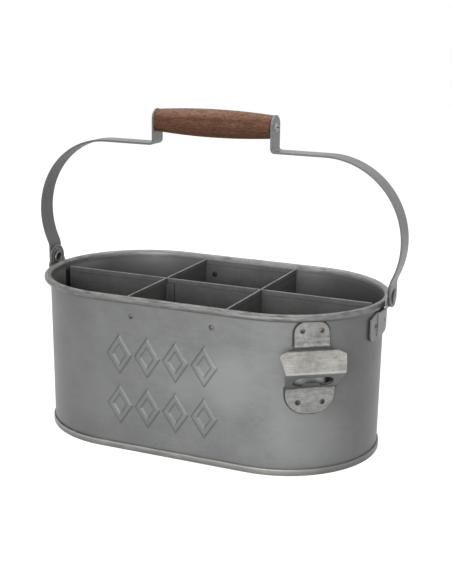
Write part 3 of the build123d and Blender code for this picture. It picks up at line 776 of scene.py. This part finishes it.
# Ear brackets: pressed from thicker sheet and riveted to the round ends, one ear each for the handle.
# The wings lie on the wall by the rivets and stand off it at their edges; the rib jogs out over the rim.
wing_flat = 15 * mm
wing_edge = 24 * mm
wing_lift = 1.5 * mm
wing_curve = 1.5
wing_top = 147.6 * mm
neck_side = 9.0 * mm
neck_wide = 15.5 * mm
neck_foot = 148.5 * mm
neck_full = 152.5 * mm
neck_taper = 153 * mm
pivot_height = 160.8 * mm
ear_radius = 13.0 * mm
sharp_fold = radians(32)


def bent_copy(name, node, bend):
    """A copy of a CAD piece, its triangles joined, its points moved by a rule and its edges kept sharp."""
    mesh = node.data.copy()
    mesh.name = name
    joined = bmesh.new()
    joined.from_mesh(mesh)
    bmesh.ops.remove_doubles(joined, verts=joined.verts, dist=0.001 * mm)
    joined.to_mesh(mesh)
    joined.free()
    if "custom_normal" in mesh.attributes:
        mesh.attributes.remove(mesh.attributes["custom_normal"])
    points = np.empty(len(mesh.vertices) * 3, np.float32)
    mesh.vertices.foreach_get("co", points)
    points = points.reshape(-1, 3).astype(float)
    mesh.vertices.foreach_set("co", bend(points).reshape(-1).astype(np.float32))
    mesh.polygons.foreach_set("use_smooth", np.ones(len(mesh.polygons), bool))
    mesh.set_sharp_from_angle(angle=sharp_fold)
    mesh.update()
    return new_object(name, mesh)


def lift_wings(points):
    """Wings bent straight out from the wall beyond the rivets, by a power of how far past their flat part
    a point is, and a neck whose sides move out by smooth steps from the wings and back in to the ear."""
    x, y, z = points.T
    shoulder = wing_top + sheet
    off = np.clip((np.abs(y) - wing_flat) / (wing_edge - wing_flat), 0, 1) ** wing_curve * wing_lift
    off = off * (z < shoulder)
    outward = np.stack([x - np.sign(x) * half_straight, y, np.zeros(len(x))], axis=-1)
    outward /= np.linalg.norm(outward, axis=1, keepdims=True)
    moved = points + outward * off[:, None]
    at_side = (np.abs(y) > neck_side - sheet / 4) & (z < pivot_height) & (z > shoulder)
    neck = neck_side + (neck_wide - neck_side) * step(z, neck_foot, neck_full)
    neck -= (neck_wide - ear_radius) * step(z, neck_taper, pivot_height)
    widened = np.maximum(np.abs(y), neck)
    moved[:, 1] = np.where(at_side, np.sign(y) * widened, moved[:, 1])
    return moved


def bracket_marks(where, colour, rough, small):
    """On the ear's inner face a paler tone, a painted highlight on its border, a ring of painted shade inside
    it and dirt round the pivot, and dark edges on the ear and the wings."""
    x, y, z = (along(where, axis) for axis in "XYZ")
    off_pivot = distance(y, z - pivot_height)
    ear_inside = between(z, 152 * mm, 154 * mm) * below(abs(x), 182.8 * mm, 183.2 * mm)
    # The border painted bright, a painted highlight, and a ring inside it painted dark, a painted shade: the
    # look of a dished ear's lip.
    border = between(off_pivot, 11.4 * mm, 12.0 * mm) * ear_inside
    dark_line = within(off_pivot, 9.8 * mm, 10.6 * mm, 11.2 * mm, 11.8 * mm) * ear_inside
    pivot_dirt = below(off_pivot, 7.0 * mm, 8.2 * mm) * ear_inside
    ear_edge = within(abs(x), 182.75 * mm, 182.95 * mm, 183.7 * mm, 183.9 * mm)
    ear_edge = ear_edge * between(z, 153 * mm, 155 * mm)
    side_edge = between(abs(y), 23.4 * mm, 23.8 * mm)
    colour = layered(
        colour,
        (ear_inside, 0.45, grey(0.34)),
        (dark_line, 0.7, grey(0.04)),
        (pivot_dirt, 0.55, grey(0.04)),
        (ear_edge, 0.75, grey(0.04)),
        (side_edge, 0.5, grey(0.06)),
        (border, 0.8, grey(0.34)),
    )
    return colour, rough


bracket_zinc = zinc("bracket_zinc", dark=0.17, pale=0.22, roughness=0.42, metallic=0.4, marks=bracket_marks)
for side in ("left", "right"):
    bracket = bent_copy(side + "_bent_bracket", nodes[side + "_ear_bracket"], lift_wings)
    dress(bracket, bracket_zinc)
    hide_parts(side + "_ear_bracket")
    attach(bracket, "tub")

# Pivot rivets: semi-tubular steel, one through each ear and the end of its strap, rolled over inside the
# ear. The plating has dulled, the rim of the head outside is painted dark as painted shade, and rust has run
# down the hollow end.
tube_radius = (3.7 * mm, 4.6 * mm)
head_edge = (4.6 * mm, 5.4 * mm)
rust_dark = (0.015, 0.01, 0.009, 1)
rust_brown = (0.085, 0.03, 0.02, 1)


def pivot_metal():
    """Dull plated steel with painted shade round the head's rim, and brown rust inside the hollow."""
    material, paint = new_paint("pivot_steel")
    where = place(paint)
    fine = cloud(where, (0.9, 0.9, 0.9), 3.0, 0.6)
    patch = cloud(where, (3, 3, 3), 3.0, 0.6)
    from_middle = abs(along(where, "X"))
    off_axis = distance(along(where, "Y"), along(where, "Z") - pivot_height)
    hollow = below(off_axis, *tube_radius) * below(from_middle, 183.5 * mm, 184.0 * mm)
    # The rim of the head painted near black: a painted shadow where the head stands off the strap.
    head_rim = between(off_axis, *head_edge) * between(from_middle, 186.3 * mm, 186.5 * mm)
    colour = layered(
        blend(fine, grey(0.15), grey(0.24)),
        (head_rim, 0.85, grey(0.025)),
        (hollow, 0.95, blend(between(patch, 0.4, 0.65), rust_dark, rust_brown)),
    )
    coat(paint, colour, 0.4 + hollow * 0.35, 0.7, fine, 0.08 * mm)
    return material


pivot_steel = pivot_metal()
for name in ("left_pivot_rivet", "right_pivot_rivet"):
    dress(nodes[name], pivot_steel)

# Handle straps: flat galvanised strip, bent cold and drilled at both ends. The inner side is darker and
# rougher than the outer side.
bow_x = 117.3 * mm
bow_z = 212 * mm
bow_mid_thickness = (76.6 * mm, 77.4 * mm)
leg_mid_thickness = (185.0 * mm, 185.6 * mm)
leg_top = (176 * mm, 184 * mm)


def strap_marks(where, colour, rough, small):
    """A darker, rougher inner side, dark sheared edges, short scratches, and a painted shadow round the head
    of the pivot rivet. The inner side is what lies inside the middle of the strap's thickness, in the bow or
    in the leg."""
    x, y, z = (along(where, axis) for axis in "XYZ")
    past_bow = larger(abs(x) - bow_x, 0.0)
    in_bow = ring(past_bow, z - bow_z, *bow_mid_thickness)
    in_leg = below(abs(x), *leg_mid_thickness) * below(z, *leg_top)
    inner_side = larger(in_bow, in_leg)
    scratch = between(cloud(where, (8, 0.4, 8), 2.0, 0.6), 0.6, 0.72)
    sheared_edge = between(abs(y), 9.5 * mm, 9.9 * mm)
    outer_side = between(abs(x), 185.4 * mm, 185.9 * mm)
    # A dark ring round the pivot's head: a painted shadow where the head stands off the strap.
    head_seat = ring(y, z - pivot_height, 8.0 * mm, 9.2 * mm) * outer_side
    colour = layered(
        colour,
        (scratch, 0.3, grey(0.34)),
        (inner_side, 0.85, blend(small, grey(0.112), grey(0.16))),
        (sheared_edge, 0.6, grey(0.07)),
        (head_seat, 0.9, grey(0.02)),
    )
    return colour, rough + inner_side * 0.1


strap_zinc = zinc(
    "strap_zinc", dark=0.175, pale=0.245, roughness=0.42, metallic=0.45, line=(12, 3, 12), marks=strap_marks
)
for name in ("left_handle_strap", "right_handle_strap"):
    dress(nodes[name], strap_zinc)

# Wooden grip: a barrel turned from a reddish-brown hardwood, rubbed with oil, its pores left open.
# Two screws hold it between the straps.
grip_axis = 312 * mm
grip_half = 61.95 * mm
grip_middle = 13.75 * mm
grip_end = 11.0 * mm
grip_round = 1.5 * mm
pore_depth = 0.12 * mm
pore_rows = (41, 67, 93, 127)
pore_wander = 1.4
barrel_rows = 110
round_rows = 8
end_rows = 8
around_columns = 320
wood_dark = (0.088, 0.034, 0.015, 1)
wood_brown = (0.15, 0.064, 0.03, 1)
wood_light = (0.19, 0.09, 0.05, 1)
# The colour of the painted highlight along the top.
wood_highlight = (0.36, 0.19, 0.115, 1)
wood_pore = (0.035, 0.013, 0.007, 1)
wood_patch = (0.06, 0.022, 0.011, 1)
# The colour of the painted shade underneath.
wood_under = (0.05, 0.022, 0.012, 1)
wood_end = (0.04, 0.016, 0.009, 1)


def grip_profile():
    """Half the barrel's outline from its middle to the axis at one end: a long arc that narrows from the
    middle to the end, a quarter round at the edge, and a flat end."""
    bow = (grip_half**2 + (grip_middle - grip_end) ** 2) / (2 * (grip_middle - grip_end))
    x = np.linspace(0, grip_half - grip_round, barrel_rows, endpoint=False)
    radius = grip_middle - bow + np.sqrt(bow**2 - x**2)
    corner = np.linspace(0, np.pi / 2, round_rows)
    edge_radius = grip_middle - bow + np.sqrt(bow**2 - (grip_half - grip_round) ** 2)
    edge_x = grip_half - grip_round + grip_round * np.sin(corner)
    edge_r = edge_radius - grip_round + grip_round * np.cos(corner)
    flat_r = np.linspace(edge_r[-1], 0, end_rows)[1:]
    flat_x = np.full(len(flat_r), grip_half)
    return np.concatenate([x, edge_x, flat_x]), np.concatenate([radius, edge_r, flat_r])


def open_pores(x, around):
    """How deep the pores are, from 0 to 1: narrow lines along the barrel that wander and fade, the eighth
    power of a sine round it, for several numbers of lines."""
    depth = np.zeros((len(x), len(around)))
    for count in pore_rows:
        drift = chance.uniform(0, 2 * np.pi, 3)
        wander = pore_wander * np.sin(x[:, None] * chance.uniform(30, 90) + drift[0])
        fading = 0.5 + 0.5 * np.sin(x[:, None] * chance.uniform(90, 240) + around[None, :] * 5 + drift[1])
        depth += np.abs(np.sin(count * around[None, :] / 2 + wander + drift[2])) ** 8 * fading
    return depth / len(pore_rows)


half_x, half_r = grip_profile()
grip_x = np.concatenate([-half_x[:0:-1], half_x])
grip_r = np.concatenate([half_r[:0:-1], half_r])
around = np.linspace(0, 2 * np.pi, around_columns, endpoint=False)
clear_of_axis = step(grip_r, 0.2 * grip_end, 0.8 * grip_end)
turned_r = grip_r[:, None] - open_pores(grip_x, around) * pore_depth * clear_of_axis[:, None]
grip_points = np.stack(
    [
        np.repeat(grip_x[:, None], len(around), axis=1),
        turned_r * np.cos(around)[None, :],
        grip_axis + turned_r * np.sin(around)[None, :],
    ],
    axis=-1,
)
grip = surface("turned_grip", grip_points[:, ::-1], round_second=True)


def turned_wood():
    """Hardwood: wavering light and dark bands along the barrel, a painted highlight along the top, fine dark
    pores, dark patches and ends, and painted shade on the underside."""
    material, paint = new_paint("oiled_hardwood")
    where = place(paint, (0, 0, grip_axis))
    z = along(where, "Z")
    bands = cloud(where, (160, 7.5, 7.5), 3.0, 0.55)
    figure = cloud(where, (30, 2.4, 2.4), 4.0, 0.6)
    pore = between(cloud(where, (4.2, 0.9, 0.9), 4.0, 0.75), 0.48, 0.62)
    patch = cloud(where, (30, 20, 20), 3.0, 0.5)
    # Paler along the top, a painted highlight, and darker underneath, a painted shade.
    painted_top_highlight = between(z + (figure - 0.5) * 8 * mm, 3.0 * mm, 11.5 * mm)
    under = below(z, -12 * mm, -4 * mm)
    end = between(abs(along(where, "X")), 60.4 * mm, 61.6 * mm)
    colour = layered(
        blend(between(bands, 0.3, 0.7), wood_dark, wood_brown),
        (between(figure, 0.45, 0.7), 0.5, wood_light),
        (painted_top_highlight, 0.75, wood_highlight),
        (pore, 0.75, wood_pore),
        (between(patch, 0.5, 0.75), 0.4, wood_patch),
        (under, 0.35, wood_under),
        (end, 0.7, wood_end),
    )
    rough = 0.6 + pore * 0.2 + (patch - 0.5) * 0.15
    coat(paint, colour, rough, 0.0, figure * 0.3 - pore * 0.7, 0.15 * mm, shine=0.3)
    return material


dress(grip, turned_wood())
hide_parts("wooden_grip")
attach(grip, "handle")

# Grip screws: bright zinc-plated round heads that clamp the straps' tabs to the ends of the grip.
# Each head has a slot across it, a dip in the bump painted dark as painted shade.
slot_half_width = (0.45 * mm, 0.7 * mm)
slot_half_length = (2.2 * mm, 2.5 * mm)


def screw_metal():
    """Bright plating with a few dull patches, and the slot painted dark, a painted shade."""
    material, paint = new_paint("bright_screws")
    where = place(paint, (0, 0, grip_axis))
    y, z = abs(along(where, "Y")), abs(along(where, "Z"))
    dull = between(cloud(where, (2, 2, 2), 3.0, 0.6), 0.45, 0.65)
    # The slot: a dip in the bump, painted near black as painted shade.
    slot = below(z, *slot_half_width) * below(y, *slot_half_length)
    plating = blend(dull, grey(0.4, -0.02), grey(0.2, -0.01))
    colour = layered(plating, (slot, 1.0, grey(0.03)))
    coat(paint, colour, 0.24 + dull * 0.2 + slot * 0.3, 0.9, dull - slot * 3, 0.05 * mm)
    return material


screw_steel = screw_metal()
for name in ("left_grip_screw", "right_grip_screw"):
    dress(nodes[name], screw_steel)

# Bottle opener: one plate of raw steel, pressed to a hood with a mouth under it, its two tabs bent to
# the wall and riveted there. Its folds and underside are painted darker as painted shade, and its lip and
# ridge paler as painted highlights; the lip's edge is also worn.
upper_tab_foot = 132.0 * mm
upper_tab_flat = 10 * mm
lower_tab_top = 86.5 * mm
lower_tab_flat = 13.5 * mm
lower_tab_give = 0.6
neck_drop = 2.3 * mm
neck_heights = (112 * mm, 124 * mm, 132.5 * mm, 139 * mm)
neck_width = (16 * mm, 27 * mm)
ridge_height = 128.4 * mm
crease_height = 125.2 * mm
lip_height = 106.7 * mm
fold_height = 88.2 * mm
slope_foot = 88 * mm
slope_climb = 0.726
mouth_up_slope = 10.6 * mm
mouth_half_straight = 10.8 * mm
mouth_radius = 8 * mm

# Rust at each rivet: how far across and up it is, the radii between which it fades, how strong it is, and
# its colour.
opener_rust = (
    (-9 * mm, 141.4 * mm, 1.6 * mm, 3.6 * mm, 0.85, (0.07, 0.045, 0.035, 1)),
    (9 * mm, 141.4 * mm, 2.0 * mm, 4.0 * mm, 0.9, (0.26, 0.13, 0.06, 1)),
    (-11.5 * mm, 73 * mm, 1.8 * mm, 3.8 * mm, 0.85, (0.08, 0.05, 0.035, 1)),
    (11.5 * mm, 73 * mm, 1.8 * mm, 3.8 * mm, 0.85, (0.08, 0.05, 0.035, 1)),
)


def lift_tabs(points):
    """The tabs stand off the round wall beyond their rivets, as a flat plate does: by the square of the way
    across over twice the wall's radius. The fold of the neck sits a little lower than its shoulders."""
    x, y, z = points.T
    out = (x - half_straight) * cos(opener_turn) + y * sin(opener_turn)
    across = (x - half_straight) * -sin(opener_turn) + y * cos(opener_turn)
    upper = np.clip(across**2 - upper_tab_flat**2, 0, None) / (2 * opener_wall) * (z > upper_tab_foot)
    lower = np.clip(across**2 - lower_tab_flat**2, 0, None) / (2 * opener_wall) * (z < lower_tab_top)
    off = (upper + lower * lower_tab_give)[:, None]
    moved = points + off * np.array([cos(opener_turn), sin(opener_turn), 0])
    moved[:, 2] -= band(z, *neck_heights) * (1 - step(np.abs(across), *neck_width)) * neck_drop
    return moved


opener = bent_copy("pressed_opener", nodes["bottle_opener"], lift_tabs)


def mouth_outline(side, z):
    """The thin line round the mouth where its painted shadow lies, a slot with round ends in the sloping
    plate:
    where a point is as far from the slot's middle line as its ends' radius. The way up the slope is the
    height over its climb."""
    up_slope = (z - slope_foot) * (1 / slope_climb)
    past_straight = larger(abs(side) - mouth_half_straight, 0.0)
    from_middle = distance(past_straight, up_slope - mouth_up_slope)
    return below(abs(from_middle - mouth_radius), 0.25 * mm, 0.6 * mm)


def opener_metal():
    """Raw pressed steel: warm clouds and flecks, a paler hood, rust at the rivets, painted shade in the
    folds, the crease and on the underside, a painted shadow round the mouth, and painted highlights on the
    ridge and along the lip, whose edge is also worn."""
    material, paint = new_paint("raw_pressed_steel")
    where = place(paint, (half_straight, 0, 0), opener_turn)
    out, side, z = (along(where, axis) for axis in "XYZ")
    broad = cloud(where, (30, 30, 20), 2.0, 0.5)
    small = cloud(where, (5, 5, 3.5), 4.0, 0.6)
    brushed = cloud(where, (20, 12, 0.6), 3.0, 0.6)
    fine = cloud(where, (0.9, 0.9, 0.9), 2.0, 0.7)
    tone = between(broad * 0.42 + brushed * 0.24 + small * 0.26 + fine * 0.08, 0.36, 0.64)
    fleck = between(cloud(where, (1.6, 1.6, 1.2), 4.0, 0.7), 0.52, 0.66)
    hood = within(z, 104 * mm, 106 * mm, 122 * mm, 125 * mm)
    low_hood = hood * below(z, 106 * mm, 117 * mm)
    off_wall = between(out, opener_wall + 1 * mm, opener_wall + 2 * mm)
    # The underside of the hood painted darker, a painted shade.
    under_hood = off_wall * within(z, 88 * mm, 89 * mm, 105.2 * mm, 105.8 * mm)
    # A near-black line round the mouth: a painted shadow at its edge.
    mouth_edge = mouth_outline(side, z) * off_wall * below(z, 106 * mm, 107 * mm)
    # The lip's outer edge painted paler: worn, and partly a painted highlight.
    worn = between(out, opener_wall + 19.2 * mm, opener_wall + 20.0 * mm)
    at_lip = between(out, opener_wall + 17.5 * mm, opener_wall + 18.5 * mm)
    # A bright line along the lip: a painted highlight.
    lip_line = below(abs(z - lip_height), 0.4 * mm, 1.0 * mm) * at_lip
    # Paler on the neck's ridge, a painted highlight; darker in the crease below it and along the lower fold,
    # a painted shade.
    ridge = below(abs(z - ridge_height), 0.6 * mm, 2.4 * mm)
    crease = below(abs(z - crease_height), 0.4 * mm, 1.5 * mm)
    fold = below(abs(z - fold_height), 0.3 * mm, 1.5 * mm)
    colour = layered(
        blend(tone, grey(0.15, 0.018), grey(0.35, 0.018)),
        (hood, 1.0, blend(tone, grey(0.27, 0.06), grey(0.54, 0.045))),
        (low_hood, 0.35, grey(0.22, 0.03)),
        (fleck, 0.35, grey(0.11, 0.05)),
        (under_hood, 0.6, grey(0.1)),
        (worn, 0.4, grey(0.44, 0.01)),
        (lip_line, 0.45, grey(0.58, 0.01)),
        (mouth_edge, 0.8, grey(0.02)),
        (ridge * between(small, 0.3, 0.6), 0.5, grey(0.46, 0.01)),
        (crease * between(small, 0.2, 0.5), 0.8, grey(0.05, 0.05)),
        (fold, 0.8, grey(0.04, 0.06)),
    )
    for rivet_side, rivet_z, full, gone, strength, rust in opener_rust:
        spot = ring(side - rivet_side, z - rivet_z, full, gone)
        colour = layered(colour, (spot * between(small, 0.38, 0.56), strength, rust))
    rough = 0.42 + (small - 0.5) * 0.15 - worn * 0.1 + (crease + fold) * 0.1
    coat(paint, colour, rough, 0.5, brushed * 0.5 + fine * 0.5, 0.06 * mm)
    return material


dress(opener, opener_metal())
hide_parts("bottle_opener")
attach(opener, "tub")
